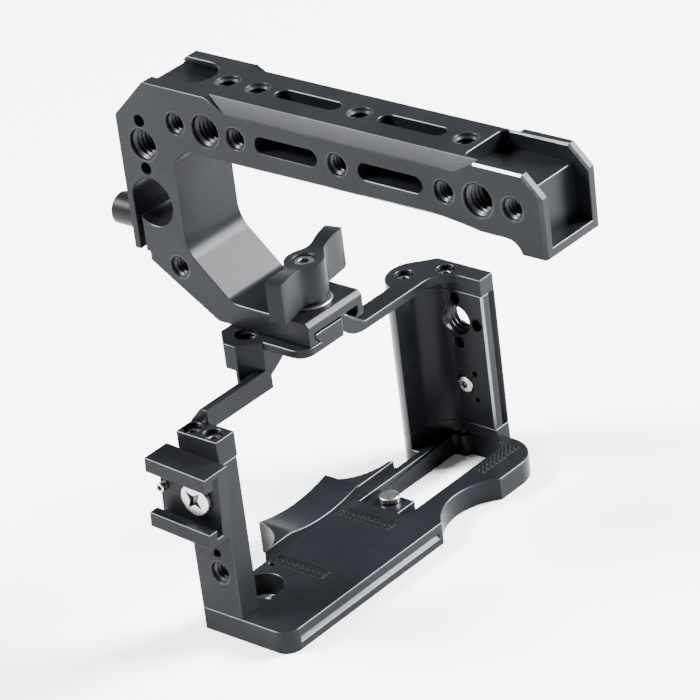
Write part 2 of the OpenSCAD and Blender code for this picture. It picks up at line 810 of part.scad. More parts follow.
module top_bar() {
    color([0.2, 0.2, 0.21]) difference() {
        union() {
            // Block on the post
            span([post_left, post_rear, post_top], [post_left + block_w, post_front, block_top]);
            // Web that climbs from the block, with a sloping front
            along_x(post_left + block_w - over, boss_x - post_left - block_w + over)
                polygon([
                    [web_rear, web_bottom], [web_rear, web_top], [web_rear + web_top_w, web_top],
                    [web_front, web_bottom + web_front_h], [web_front, web_bottom]
                ]);
            // Boss and the gusset beside it, up to the raised plate
            difference() {
                union() {
                    translate([boss_x, boss_y, web_bottom]) linear_extrude(height = plate_top - web_bottom)
                        boss_plan();
                    span([boss_x, web_rear, web_bottom], [gusset_right, web_rear + web_d, plate_top - over]);
                }
                along_y(web_rear - over, boss_w + 2 * over) gusset_cut();
            }
            translate([0, 0, plate_bottom]) linear_extrude(height = plate_t) plate_plan();
            intersection() {
                translate([handle_x, 0, 0]) along_y(plate_rear, dove_len)
                    dovetail(dove_neck_w, dove_w, plate_top - plate_t / 2, plate_top, plate_top + dove_h);
                translate([0, 0, plate_bottom]) linear_extrude(height = plate_t + dove_h + over) plate_plan();
            }
            along_y(arm_rear_y, arm_d) riser_outline();
            span([riser_end, arm_rear_y, arm_top - arm_t], [nose_x, arm_front_y, arm_top]);
            // Ear over the wall: a thin edge above, and a thick pad of the wall's own outline
            translate([0, 0, arm_top - arm_t]) linear_extrude(height = arm_t) difference() {
                wall_outside(ear_right);
                hollow(ear_hollow_r, arm_rear_y - ear_hollow_r);
            }
            translate([0, 0, wall_top]) linear_extrude(height = arm_end_t) wall_plan(ear_right);
        }
        for (p = post_screws()) translate([p[0], p[1], block_top])
            socket_bore(screw_r, screw_head_r, screw_sink, block_t);
        for (p = ear_screws()) translate([p[0], p[1], arm_top])
            socket_bore(screw_r, screw_head_r, screw_sink, arm_end_t);
        translate([boss_x, boss_y, plate_top]) rotate([180, 0, 0])
            tapped(small_r, small_sink_r, boss_rise);
        translate([boss_x - boss_w / 2 - notch_r, web_front + web_step_in, web_bottom - over])
            cylinder(r = notch_r, h = web_t + 2 * over);
        // Concave front edge of the web
        translate([(post_left + block_w + boss_x) / 2, web_front - web_bow_share + web_bow_r, web_bottom])
            translate([0, 0, -over]) cylinder(r = web_bow_r, h = web_t + 2 * over);
    }
}

// A pair of socket screws at the given places, heads down in their counterbores
module screw_pair(places, top, flip, len) {
    color("silver") for (p = places) translate([p[0], p[1], top]) rotate([flip, 0, 0])
        translate([0, 0, screw_head_h - screw_sink])
            socket_screw(screw_r, screw_head_r, screw_head_h, len, hex_r, hex_depth);
}

module bar_screws_left() { screw_pair(post_screws(), block_top, 0, screw_len); }
module bar_screws_right() { screw_pair(ear_screws(), arm_top, 0, ear_screw_len); }
module base_screws_left() { screw_pair(post_screws(), 0, 180, screw_len); }
module base_screws_right() { screw_pair(ear_screws(), 0, 180, screw_len); }

// Bores for a pair of screws, down from one face
module pair_bores(places, top, depth, flip) {
    for (p = places) translate([p[0], p[1], top]) rotate([flip, 0, 0])
        translate([0, 0, -depth]) cylinder(r = screw_r + run_gap, h = depth + over);
}

module left_post() {
    hole_y = post_rear + post_hole_d_share * post_d;
    color([0.22, 0.22, 0.23]) difference() {
        span([post_left, post_rear, base_t], [post_right, post_front, post_top]);
        pair_bores(post_screws(), post_top, screw_len + screw_sink - block_t + run_gap, 0);
        pair_bores(post_screws(), base_t, screw_len + screw_sink - base_t + run_gap, 180);
        translate([post_left, hole_y, post_hole_z]) rotate([0, 90, 0])
            tapped(small_r, small_sink_r, post_w - post_floor_t);
        translate([post_left, hole_y, post_hole_z + 2 * small_r]) rotate([0, 90, 0])
            tapped(post_pin_r, post_pin_r, post_w / 2);
        shoe_place() rotate([0, 90, 0]) translate([0, 0, -over])
            cylinder(r = shoe_screw_r + run_gap, h = shoe_screw_len + over);
    }
}

post_hole_d_share = 0.41;
post_floor_t = 1.8;
post_pin_r = 1.3;
shoe_screw_r = 2.4;
shoe_screw_len = 5.8;
cross_share = 0.55;
shoe_head_r = 4.9;
shoe_head_h = 1.8;
shoe_screw_y = post_rear + post_hole_d_share * post_d;
shoe_screw_drop = 9.3;
shoe_ahead = 2.75;
stop_pin_r = 1.4;
stop_pin_ahead = 12.2;
shoe_back = shoe_d - shoe_lip_t - shoe_slot;

// Frame of the cold shoe: x = 0 on the post's outer face, its screw on the axis
module shoe_place() {
    translate([post_left, shoe_screw_y, post_top - shoe_screw_drop]) rotate([shoe_tilt, 0, 0]) children();
}

// Cold shoe on the post's outer face, with its channel along Y and its mouth to the left
module side_cold_shoe() {
    half = shoe_h / 2;
    lip = shoe_mouth / 2;
    room = shoe_channel / 2;
    low = shoe_d - shoe_lip_t;
    color([0.15, 0.15, 0.16]) shoe_place() difference() {
        along_y(shoe_ahead - shoe_len / 2, shoe_len) polygon([
            [0, -half], [0, half], [-shoe_d, half], [-shoe_d, lip], [-low, lip], [-low, room],
            [-shoe_back, room], [-shoe_back, -room], [-low, -room], [-low, -lip],
            [-shoe_d, -lip], [-shoe_d, -half]
        ]);
        translate([-shoe_d, 0, 0]) rotate([0, 90, 0]) cylinder(r = shoe_screw_r + run_gap, h = shoe_d + over);
        translate([-shoe_back - over, stop_pin_ahead, 0]) rotate([0, 90, 0])
            cylinder(r = stop_pin_r + run_gap, h = shoe_back / 2 + over);
    }
}

module shoe_screw() {
    slot = shoe_head_h / 2;
    shank = shoe_back + shoe_screw_len - run_gap;
    arm = shoe_head_r * cross_share;
    color("silver") shoe_place() translate([-shoe_back - shoe_head_h, 0, 0]) rotate([0, -90, 0])
        difference() {
            socket_screw(shoe_screw_r, shoe_head_r, shoe_head_h, shank, shoe_screw_r / 2, slot);
            for (turn = [0, 90]) rotate([0, 0, turn])
                span([-arm, -slot / 2, -slot], [arm, slot / 2, over]);
        }
}

module shoe_stop_pin() {
    color("silver") shoe_place() translate([-shoe_back / 2, stop_pin_ahead, 0]) rotate([0, -90, 0])
        cylinder(r = stop_pin_r, h = shoe_back / 2 + shoe_slot);
}

// Hole, screw and pins in the right wall
wall_hole_y = -wall_rear + rail_w / 2;
wall_hole_share = 0.776;
wall_hole_z = curb_top + wall_hole_share * wall_h;
rail_screw_share = 0.3;
rail_screw_z = curb_top + rail_screw_share * wall_h;
rail_screw_shift = -0.8;
rail_screw_len = 2.9;
rail_pad_shares = [[0, 0.16], [0.487, 0.69]];
rail_edge_h = 0.4;
pin_hole_share = 0.7;
small_pin_shift = 4.5;
small_pin_rises = [4.1, -4.7];
rail_screw_r = 1.5;
rail_head_r = 2.7;
rail_head_h = 1.6;
rail_head_proud = 0.6;
rail_key_r = 1.2;
small_pin_r = 0.9;

module right_wall() {
    color([0.17, 0.17, 0.18]) difference() {
        translate([0, 0, curb_top]) linear_extrude(height = wall_h) wall_plan(wall_out);
        pair_bores(ear_screws(), wall_top, ear_screw_len + screw_sink - arm_end_t + run_gap, 0);
        pair_bores(ear_screws(), curb_top, screw_len + screw_sink - curb_top + run_gap, 180);
        translate([wall_in, wall_hole_y, wall_hole_z]) rotate([0, 90, 0]) {
            translate([0, 0, -over]) cylinder(r = large_r, h = wall_t + 2 * over);
            for (side = [-1, 0, 1]) translate([side * pin_pitch, (abs(side) - 1) * pin_pitch, -over])
                cylinder(r = pin_r, h = pin_hole_share * wall_t + over);
        }
        translate([wall_in, wall_hole_y + rail_screw_shift, rail_screw_z]) rotate([0, 90, 0]) {
            translate([0, 0, -over]) cylinder(r = rail_screw_r + run_gap, h = wall_t + 2 * over);
            translate([0, 0, -over])
                cylinder(r = rail_head_r + run_gap, h = rail_head_h - rail_head_proud + over);
        }
        for (rise = small_pin_rises)
            translate([wall_in - over, wall_hole_y - small_pin_shift, rail_screw_z + rise]) rotate([0, 90, 0])
                cylinder(r = small_pin_r, h = over + wall_t / 2);
    }
}

// Accessory rail on the wall's outer face, with bevelled flanks and raised stops
module accessory_rail() {
    undercut = (rail_w - rail_neck_w) / 2;
    neck_h = rail_stop_h;
    color([0.18, 0.18, 0.19]) difference() {
        translate([wall_out, wall_hole_y, curb_top]) {
            linear_extrude(height = wall_h) rail_plan(rail_t - rail_stop_h, undercut, neck_h);
            for (s = rail_pad_shares)
                translate([0, 0, s[0] * wall_h]) linear_extrude(height = (s[1] - s[0]) * wall_h)
                    rail_plan(rail_t, undercut, neck_h);
        }
        translate([wall_out - over, wall_hole_y, wall_hole_z]) rotate([0, 90, 0])
            cylinder(r = large_r, h = rail_t + 2 * over);
        translate([wall_out - over, wall_hole_y + rail_screw_shift, rail_screw_z]) rotate([0, 90, 0])
            cylinder(r = rail_screw_r + run_gap, h = rail_screw_len - wall_t + rail_head_h + over);
    }
}

module rail_plan(height, undercut, neck_h) {
    half = rail_w / 2;
    bevel = height - neck_h - undercut - rail_edge_h;
    polygon([
        [0, -rail_neck_w / 2], [neck_h, -rail_neck_w / 2], [neck_h + undercut, -half],
        [height - bevel, -half], [height, -half + bevel], [height, half - bevel],
        [height - bevel, half], [neck_h + undercut, half], [neck_h, rail_neck_w / 2], [0, rail_neck_w / 2]
    ]);
}

module rail_screw() {
    screw_y = wall_hole_y + rail_screw_shift;
    color("silver") translate([wall_in - rail_head_proud, screw_y, rail_screw_z]) rotate([0, -90, 0])
        socket_screw(rail_screw_r, rail_head_r, rail_head_h, rail_screw_len, rail_key_r, rail_head_h / 2);
}

// Base plate
small_hole_r = 0.9;
flank_drop = 10.7;
neck_share = 0.8;
thread_gap = 0.1;
cradle_half = cradle_w / 2;
scoop_r = (pow(scoop_len / 2, 2) + pow(scoop_depth, 2)) / (2 * scoop_depth);
lobe_inset = 1.45;
lobe_right = base_right - lobe_inset;
tab_end = opening_left + tab_len;
tab_y = tab_slit - opening_rear;
opening_bevel = 1.5;
cam_shift = 0.8;
cam_x = opening_left + cam_screw_inset;
cam_y = (opening_front + tab_y) / 2 + cam_shift;
lip_front = base_front + lip_reach;
cam_head_h = 1.6;
rib_front = base_front + lip_reach - flank_drop;
rib_rear = rib_front - rib_t;
rib_end = cradle_half + flank_right;
rib_cut = 2;
hole_front_gap = 7.4;
lens_facets = 96;
groove_share = 0.35;
groove_low = base_t * groove_share;
small_hole_places = [[13, 13.1], [27.4, 2.4]];
pad_left_inset = 30.2;
pad_middle_gap = 7.1;
pad_front_gap = 8.5;
pad_right_gap = 8;
pad_right_shift = 2.6;

module corner_cut(r) {
    difference() {
        translate([-over, -over]) square(r + over);
        translate([r, r]) circle(r = r);
    }
}

module base_plan() {
    difference() {
        union() {
            translate([-base_left, base_rear]) square([base_left + lobe_right, base_d]);
            translate([nose_x, 0]) square([base_right - nose_x, base_front]);
            wall_outside(base_right);
            // Lip under the lens, between two concave flanks
            translate([-cradle_half - flank_r, base_front - over])
                square([cradle_w + flank_r, lip_reach + over]);
            polygon([
                [0, base_front - over], [0, lip_front], [rib_end, lip_front],
                [rib_end, rib_front], [rib_end + rib_cut, base_front - over]
            ]);
        }
        translate([-base_left, base_rear]) corner_cut(base_corner_r);
        translate([lobe_right, base_rear]) mirror([1, 0]) corner_cut(lobe_r);
        translate([scoop_x, base_rear - scoop_r + scoop_depth]) circle(r = scoop_r);
        translate([-cradle_half - flank_r, lip_front]) scale([1, lip_reach / flank_r]) circle(r = flank_r);
        translate([rib_end, lip_front]) scale([1, flank_drop / flank_right]) circle(r = flank_right);
    }
}

module base_opening() {
    b = opening_bevel;
    polygon([
        [tab_end, opening_front], [opening_right - b, opening_front], [opening_right, opening_front - b],
        [opening_right, b - opening_rear], [opening_right - b, -opening_rear],
        [opening_left + b, -opening_rear], [opening_left, b - opening_rear],
        [opening_left, tab_y], [tab_end, tab_y]
    ]);
}

// Places of the knurled pads: middle of each pad, and its sides
function pads() = [
    [[-base_left + pad_left_inset, opening_front - pad_front_gap], [pad_w, pad_len]],
    [[opening_left - pad_middle_gap, opening_front - pad_front_gap], [pad_w, pad_len]],
    [[opening_right - pad_right_gap, (base_rear - opening_rear) / 2 + pad_right_shift],
     [pad_right_len, pad_w]]
];

module pad_box(i, low, high, grow) {
    p = pads()[i];
    translate([p[0][0], p[0][1], low]) linear_extrude(height = high - low)
        square([p[1][0] + 2 * grow, p[1][1] + 2 * grow], center = true);
}

module base_plate() {
    lens_z = base_t + sqrt(pow(lens_r, 2) - pow(cradle_half, 2)) + lip_h;
    color([0.25, 0.25, 0.26]) difference() {
        union() {
            linear_extrude(height = base_t) base_plan();
            translate([0, 0, base_t]) linear_extrude(height = curb_h) wall_plan(base_right);
            // Raised front lip, and the lower edge that runs on from it to the right
            translate([0, 0, base_t - over]) linear_extrude(height = lip_h + over) intersection() {
                base_plan();
                translate([-cradle_half - flank_r - over, base_front])
                    square([cradle_w + flank_r + over, lip_reach]);
            }
            translate([0, 0, base_t - over]) linear_extrude(height = flank_h + over) intersection() {
                base_plan();
                translate([cradle_half - over, rib_rear]) square([flank_right + rib_cut + over, lip_reach]);
            }
        }
        // Round bed for the lens barrel
        translate([0, base_front - over, lens_z]) rotate([-90, 0, 0])
            cylinder(r = lens_r, h = lip_reach + 2 * over, $fn = lens_facets);
        translate([0, 0, -over]) linear_extrude(height = base_t + 2 * over) base_opening();
        span([opening_left, tab_y, base_t - tab_drop], [tab_end + over, opening_front, base_t + over]);
        translate([cam_x, cam_y, -over]) cylinder(r = cam_thread_r + run_gap, h = base_t + 2 * over);
        translate([cam_x, cam_y, -over]) cylinder(r = cam_head_r + head_gap, h = cam_head_h + over);
        translate([-base_left + base_hole_inset, base_front - hole_front_gap, -over])
            cylinder(r = base_hole_r, h = base_t + 2 * over);
        for (p = small_hole_places)
            translate([-base_left + p[0], base_front - p[1], -over])
                cylinder(r = small_hole_r, h = base_t + 2 * over);
        span([-base_left + base_corner_r, base_rear - over, groove_low],
             [scoop_x - scoop_len / 2 - groove_h, base_rear + groove_depth, groove_low + groove_h]);
        for (i = [0 : 2]) pad_box(i, base_t - pad_seat, base_t + over, run_gap);
        for (p = concat(post_screws(), ear_screws())) translate([p[0], p[1], 0]) rotate([180, 0, 0])
            socket_bore(screw_r, screw_head_r, screw_sink, base_t + curb_h);
    }
}

module seat_pad(i) {
    color("dimgray") pad_box(i, base_t - pad_seat, base_t + pad_proud, 0);
}
module seat_pad_left() { seat_pad(0); }
module seat_pad_middle() { seat_pad(1); }
module seat_pad_right() { seat_pad(2); }

module camera_screw() {
    top = base_t - tab_drop + cam_screw_h;
    slot = cam_head_h / 2;
    color("silver") translate([cam_x, cam_y, 0]) difference() {
        union() {
            translate([0, 0, slide_gap / 2]) cylinder(r = cam_head_r, h = cam_head_h - slide_gap);
            translate([0, 0, slide_gap]) cylinder(r = cam_thread_r * neck_share, h = top - slide_gap);
            translate([0, 0, top - cam_screw_h + thread_gap])
                cylinder(r = cam_thread_r, h = cam_screw_h - thread_gap);
        }
        span([-cam_head_r - over, -slot, -over], [cam_head_r + over, slot, slot]);
    }
}

handle();
rod_clamp_screw();
wing_lever();
lever_screw();
clamp_stud();
lever_washer();
top_bar();
bar_screws_left();
bar_screws_right();
left_post();
side_cold_shoe();
shoe_screw();
shoe_stop_pin();
right_wall();
accessory_rail();
rail_screw();
base_plate();
seat_pad_left();
seat_pad_middle();
seat_pad_right();
camera_screw();
base_screws_left();
base_screws_right();
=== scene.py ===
import json
import math

import bmesh
import bpy
from mathutils import Matrix, Vector


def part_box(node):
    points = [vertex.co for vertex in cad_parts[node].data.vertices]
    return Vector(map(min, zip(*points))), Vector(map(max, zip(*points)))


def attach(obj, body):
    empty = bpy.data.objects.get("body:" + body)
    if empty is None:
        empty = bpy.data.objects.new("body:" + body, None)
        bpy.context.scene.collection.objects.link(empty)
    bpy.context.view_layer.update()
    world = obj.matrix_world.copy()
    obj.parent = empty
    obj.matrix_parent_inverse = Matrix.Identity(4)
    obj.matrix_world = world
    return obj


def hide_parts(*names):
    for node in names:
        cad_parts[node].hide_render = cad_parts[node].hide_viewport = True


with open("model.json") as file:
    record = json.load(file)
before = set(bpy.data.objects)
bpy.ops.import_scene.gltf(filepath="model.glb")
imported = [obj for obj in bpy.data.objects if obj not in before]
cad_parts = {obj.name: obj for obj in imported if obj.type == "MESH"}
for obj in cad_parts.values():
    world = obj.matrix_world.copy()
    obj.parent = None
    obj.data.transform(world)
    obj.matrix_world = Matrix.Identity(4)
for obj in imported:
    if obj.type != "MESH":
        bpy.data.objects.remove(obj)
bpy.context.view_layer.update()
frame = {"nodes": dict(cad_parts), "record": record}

MM = 0.001
NODES = frame["nodes"]
BODY = {n: b for b, names in frame["record"]["behaviour"]["bodies"].items() for n in names}

# Points closer than this are one, in metres
WELD = 0.000003
# Threads in mm: radius, pitch and height of the ridge
LARGE_THREAD = (4.7625, 1.5875, 0.86)
SMALL_THREAD = (3.175, 1.27, 0.69)
# Bare wall at a thread's mouth and at its floor, in mm
THREAD_START, THREAD_STOP = 0.75, 0.4
# Noise scales of the finishes
CLOUD, SOFT_CLOUD, BRUSHED, TURNED, FINE, PAPER = 45, 120, 900, 1600, 5200, 3


# ---------------------------------------------------------------- camera
AZIMUTH, ELEVATION, ROLL = -47.13, 27.95, -7.44
CAMERA_PLACE = (-0.72521, -0.67535, 0.59241)
FOCAL_LENGTH, SENSOR_WIDTH = 205.2, 36
CLIP_NEAR, CLIP_FAR = 0.05, 30


def camera():
    az, el, roll = (math.radians(v) for v in (AZIMUTH, ELEVATION, ROLL))
    back = Vector((math.sin(az) * math.cos(el), -math.cos(az) * math.cos(el), math.sin(el)))
    right = (-back).cross(Vector((0, 0, 1))).normalized()
    up = right.cross(-back)
    turned = right * math.cos(roll) + up * math.sin(roll)
    top = up * math.cos(roll) - right * math.sin(roll)
    data = bpy.data.cameras.new("photo_camera")
    data.sensor_width = SENSOR_WIDTH
    data.lens = FOCAL_LENGTH
    data.clip_start, data.clip_end = CLIP_NEAR, CLIP_FAR
    cam = bpy.data.objects.new("photo_camera", data)
    bpy.context.scene.collection.objects.link(cam)
    m = Matrix((turned, top, back)).transposed().to_4x4()
    m.translation = Vector(CAMERA_PLACE)
    cam.matrix_world = m
    bpy.context.scene.camera = cam


# ---------------------------------------------------------------- materials
class Nodes:
    """A small helper that lays out one material's nodes."""

    def __init__(self, name):
        self.mat = bpy.data.materials.new(name)
        self.mat.use_nodes = True
        self.tree = self.mat.node_tree
        self.bsdf = next(n for n in self.tree.nodes if n.type == "BSDF_PRINCIPLED")
        self.coord = self.add("ShaderNodeTexCoord").outputs["Object"]

    def add(self, kind, **values):
        node = self.tree.nodes.new(kind)
        for key, value in values.items():
            setattr(node, key, value)
        return node

    def link(self, a, b):
        self.tree.links.new(a, b)

    def noise(self, scale, detail, stretch=(1, 1, 1)):
        mapping = self.add("ShaderNodeMapping")
        mapping.inputs["Scale"].default_value = stretch
        self.link(self.coord, mapping.inputs["Vector"])
        node = self.add("ShaderNodeTexNoise")
        node.inputs["Scale"].default_value = scale
        node.inputs["Detail"].default_value = detail
        node.inputs["Roughness"].default_value = 0.5
        self.link(mapping.outputs["Vector"], node.inputs["Vector"])
        return node.outputs["Fac"]

    def ramp(self, fac, low, high, at=(0.3, 0.7)):
        node = self.add("ShaderNodeValToRGB")
        first, last = node.color_ramp.elements
        first.position, last.position = at
        first.color = (*low, 1)
        last.color = (*high, 1)
        self.link(fac, node.inputs["Fac"])
        return node.outputs["Color"]

    def range(self, fac, low, high):
        node = self.add("ShaderNodeMapRange")
        node.inputs["To Min"].default_value = low
        node.inputs["To Max"].default_value = high
        node.inputs["From Min"].default_value = 0.25
        node.inputs["From Max"].default_value = 0.75
        self.link(fac, node.inputs["Value"])
        return node.outputs["Result"]

    def mix(self, a, b, share):
        """a times share, plus b."""
        node = self.add("ShaderNodeMath", operation="MULTIPLY_ADD")
        self.link(a, node.inputs[0])
        node.inputs[1].default_value = share
        self.link(b, node.inputs[2])
        return node.outputs["Value"]

    def bump(self, height, strength, distance):
        node = self.add("ShaderNodeBump")
        node.inputs["Strength"].default_value = strength
        node.inputs["Distance"].default_value = distance
        self.link(height, node.inputs["Height"])
        self.link(node.outputs["Normal"], self.bsdf.inputs["Normal"])

    def colour(self, socket):
        self.link(socket, self.bsdf.inputs["Base Color"])

    def rough(self, fac, limits):
        self.link(self.range(fac, *limits), self.bsdf.inputs["Roughness"])

    def set(self, key, value):
        self.bsdf.inputs[key].default_value = value


def anodised(name, low, high, rough, metallic=0.08, grain=0.22, streak=(1, 1, 1)):
    n = Nodes(name)
    cloud = n.noise(CLOUD, 3)
    fine = n.noise(FINE, 1.5)
    n.colour(n.ramp(n.mix(fine, cloud, 0.35), low, high, (0.35, 1.0)))
    brushed = n.noise(BRUSHED, 2.5, streak)
    n.rough(n.mix(cloud, brushed, 0.6), rough)
    n.bump(n.mix(brushed, fine, 0.7), grain, 0.00002)
    n.set("Metallic", metallic)
    n.set("Specular IOR Level", 0.07)
    return n.mat


def bare_metal(name, low, high, rough, streak, grain=0.12):
    n = Nodes(name)
    turned = n.noise(TURNED, 3, streak)
    cloud = n.noise(SOFT_CLOUD, 2)
    n.colour(n.ramp(n.mix(cloud, turned, 0.5), low, high, (0.3, 1.1)))
    n.rough(turned, rough)
    n.bump(turned, grain, 0.00001)
    n.set("Metallic", 1.0)
    return n.mat


def stage_material(name, colour):
    n = Nodes(name)
    n.colour(n.ramp(n.noise(PAPER, 2), colour, tuple(c * 0.995 for c in colour)))
    n.set("Roughness", 0.9)
    return n.mat


def materials():
    glossy, satin = (0.21, 0.31), (0.3, 0.42)
    return {
        "black_anodised": anodised(
            "black_anodised", (0.0032, 0.0036, 0.0045), (0.0068, 0.0075, 0.0095), glossy),
        "grip": anodised(
            "black_anodised_grip", (0.0032, 0.0036, 0.0045), (0.0068, 0.0075, 0.009), glossy,
            streak=(1, 0.12, 1)),
        # Light bare-metal colour on chosen chamfers: a painted highlight for the reflection they
        # catch
        "painted_highlight_edge": bare_metal(
            "painted_highlight_edge", (0.10, 0.104, 0.108), (0.19, 0.195, 0.20), (0.34, 0.46), (1, 0.2, 1)),
        # Slightly lighter, more metallic anodised colour on the fine bevels: a faint painted
        # highlight
        "faint_highlight_edge": anodised(
            "faint_highlight_edge", (0.010, 0.0105, 0.012), (0.030, 0.031, 0.034), (0.24, 0.34),
            metallic=0.45, grain=0.1),
        "thread": anodised(
            "black_thread", (0.012, 0.0125, 0.014), (0.035, 0.036, 0.038), (0.22, 0.32),
            metallic=0.6, grain=0.1),
        "knurled_pad": anodised(
            "knurled_pad", (0.006, 0.0065, 0.007), (0.013, 0.0135, 0.015), satin,
            metallic=0.5, grain=0.3),
        "black_lever": anodised(
            "black_lever", (0.004, 0.0044, 0.005), (0.008, 0.0086, 0.0095), satin, grain=0.3),
        "stainless_steel": bare_metal(
            "stainless_steel", (0.33, 0.33, 0.32), (0.48, 0.48, 0.46), (0.22, 0.34),
            (1, 1, 0.15), grain=0.05),
        # Darker steel inside the drive recesses and their drill points: painted shade of the
        # hollow
        "recess_painted_shade": bare_metal(
            "recess_painted_shade", (0.05, 0.05, 0.048), (0.11, 0.11, 0.105), satin,
            (1, 1, 0.3), grain=0.05),
        "grey_washer": bare_metal(
            "grey_washer", (0.16, 0.16, 0.165), (0.28, 0.28, 0.29), satin, (1, 1, 1)),
    }


# ---------------------------------------------------------------- pieces
def put(name, mesh, body, mats):
    ob = bpy.data.objects.new(name, mesh)
    bpy.context.scene.collection.objects.link(ob)
    for m in mats:
        ob.data.materials.append(m)
    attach(ob, body)
    return ob


def baked(bm, name):
    """The finished mesh, with the working one freed."""
    mesh = bpy.data.meshes.new(name)
    bm.to_mesh(mesh)
    bm.free()
    return mesh


def shade(bm, angle=24):
    limit = math.radians(angle)
    for f in bm.faces:
        f.smooth = True
    for e in bm.edges:
        e.smooth = len(e.link_faces) == 2 and e.calc_face_angle(0) < limit


def clean_copy(node):
    """The node's own shape as whole faces, ready for real bevels."""
    bm = bmesh.new()
    bm.from_mesh(NODES[node].data)
    bmesh.ops.remove_doubles(bm, verts=bm.verts, dist=WELD)
    bmesh.ops.dissolve_limit(bm, angle_limit=math.radians(0.5), verts=bm.verts, edges=bm.edges)
    return bm


def bevel(bm, width, pick, finish, angle=30):
    """Break the sharp edges that pick allows and no earlier pass has broken."""
    limit = math.radians(angle)
    edges = [e for e in bm.edges
             if len(e.link_faces) == 2 and e.calc_face_angle(0) > limit and pick(e)
             and all(f.material_index == 0 for f in e.link_faces)]
    if edges:
        bmesh.ops.bevel(bm, geom=edges, offset=width, offset_type="OFFSET", segments=1,
                        profile=0.5, affect="EDGES", clamp_overlap=False, material=finish,
                        loop_slide=True)


def milled(node, width, mats, passes=(), leave=lambda e: False):
    """The node with its convex edges broken: each pass picks edges, a width and a finish, and the
    rest get a fine one, whose finish is the faint painted highlight."""
    bm = clean_copy(node)
    for pick, wide, finish in passes:
        bevel(bm, wide, pick, finish)
        bmesh.ops.remove_doubles(bm, verts=bm.verts, dist=WELD)
    bevel(bm, width, lambda e: e.is_convex and not leave(e), 2)
    shade(bm)
    ob = put(node + "_milled", baked(bm, node + "_milled"), BODY[node], mats)
    flat = ob.modifiers.new("flat_faces", "WEIGHTED_NORMAL")
    flat.keep_sharp = True
    flat.weight = 100
    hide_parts(node)
    return ob


def finished(bm, node, mats, angle):
    """A piece made from nothing, in its node's place."""
    bmesh.ops.recalc_face_normals(bm, faces=bm.faces)
    shade(bm, angle)
    ob = put(node + "_made", baked(bm, node + "_made"), BODY[node], mats)
    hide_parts(node)
    return ob


# ---------------------------------------------------------------- threads
def frame_of(origin, inward):
    """Matrix whose z runs along inward, from origin, both in the part's own axes and mm."""
    z = Vector(inward).normalized()
    x = z.orthogonal().normalized()
    y = z.cross(x)
    m = Matrix((x, y, z)).transposed().to_4x4()
    m.translation = Vector(origin)
    return m


def polar(bm, place, r, a, z):
    """A new point at radius r, angle a and height z of place's own axes, in mm."""
    return bm.verts.new(place @ Vector((r * math.cos(a), r * math.sin(a), z)) * MM)


def helix(bm, place, thread, start, end, segments=36):
    """A thread's ridge inside a hole: a V that stands inward from the wall. place maps the
    hole's own axes (x, y across, z going in) to the part."""
    r, pitch, depth = thread
    sunk, root, crest = 0.02, 0.48, 0.06
    turns = (end - start) / pitch
    steps = max(8, int(turns * segments))
    rings = []
    for i in range(steps + 1):
        t = i / steps
        a = 2 * math.pi * turns * t
        z = start + (end - start) * t
        tall = -depth * min(1.0, t * turns * 3, (1 - t) * turns * 3)
        profile = ((sunk, -root), (tall, -crest), (tall, crest), (sunk, root))
        rings.append([polar(bm, place, r + dr, a, z + dz * pitch) for dr, dz in profile])
    for a, b in zip(rings, rings[1:]):
        for k in range(3):
            bm.faces.new((a[k], a[k + 1], b[k + 1], b[k]))


def threads(name, body, holes, mat):
    """Threads in holes, each an origin, a direction inward, a thread and a depth."""
    bm = bmesh.new()
    for origin, inward, thread, deep in holes:
        helix(bm, frame_of(origin, inward), thread, THREAD_START, deep - THREAD_STOP)
    bmesh.ops.recalc_face_normals(bm, faces=bm.faces)
    shade(bm, 40)
    return put(name, baked(bm, name), body, [mat])


def handle_holes():
    """The handle's holes: shares are of its length, from the front end, and drops are in mm."""
    side_small, side_large = (0.1513, 0.299, 0.5397, 0.7824, 0.9337), (0.2262, 0.8585)
    top_small = (0.2276, 0.2999, 0.5406, 0.7822)
    row_drop, side_deep, top_deep, arm_deep = 10.62, 9, 5.4, 8
    end_hole, arm_hole = (9.18, 19.76), (16.4, 56.5)
    lo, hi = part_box("handle")
    front, top, length = hi.y / MM, hi.z / MM, (hi.y - lo.y) / MM
    holes = []
    for x, inward in ((lo.x / MM, (1, 0, 0)), (hi.x / MM, (-1, 0, 0))):
        for shares, thread in ((side_small, SMALL_THREAD), (side_large, LARGE_THREAD)):
            for s in shares:
                place = (x, front - s * length, top - row_drop)
                holes.append((place, inward, thread, side_deep))
        back, drop = end_hole
        holes.append(((x, front - back, top - drop), inward, LARGE_THREAD, side_deep))
        back, drop = arm_hole
        holes.append(((x, front - back, top - drop), inward, SMALL_THREAD, arm_deep))
    middle = (lo.x + hi.x) / 2 / MM
    for s in top_small:
        holes.append(((middle, front - s * length, top), (0, 0, -1), SMALL_THREAD, top_deep))
    return holes


# ---------------------------------------------------------------- seat pads
def clamped(value):
    return max(0.0, min(1.0, value))


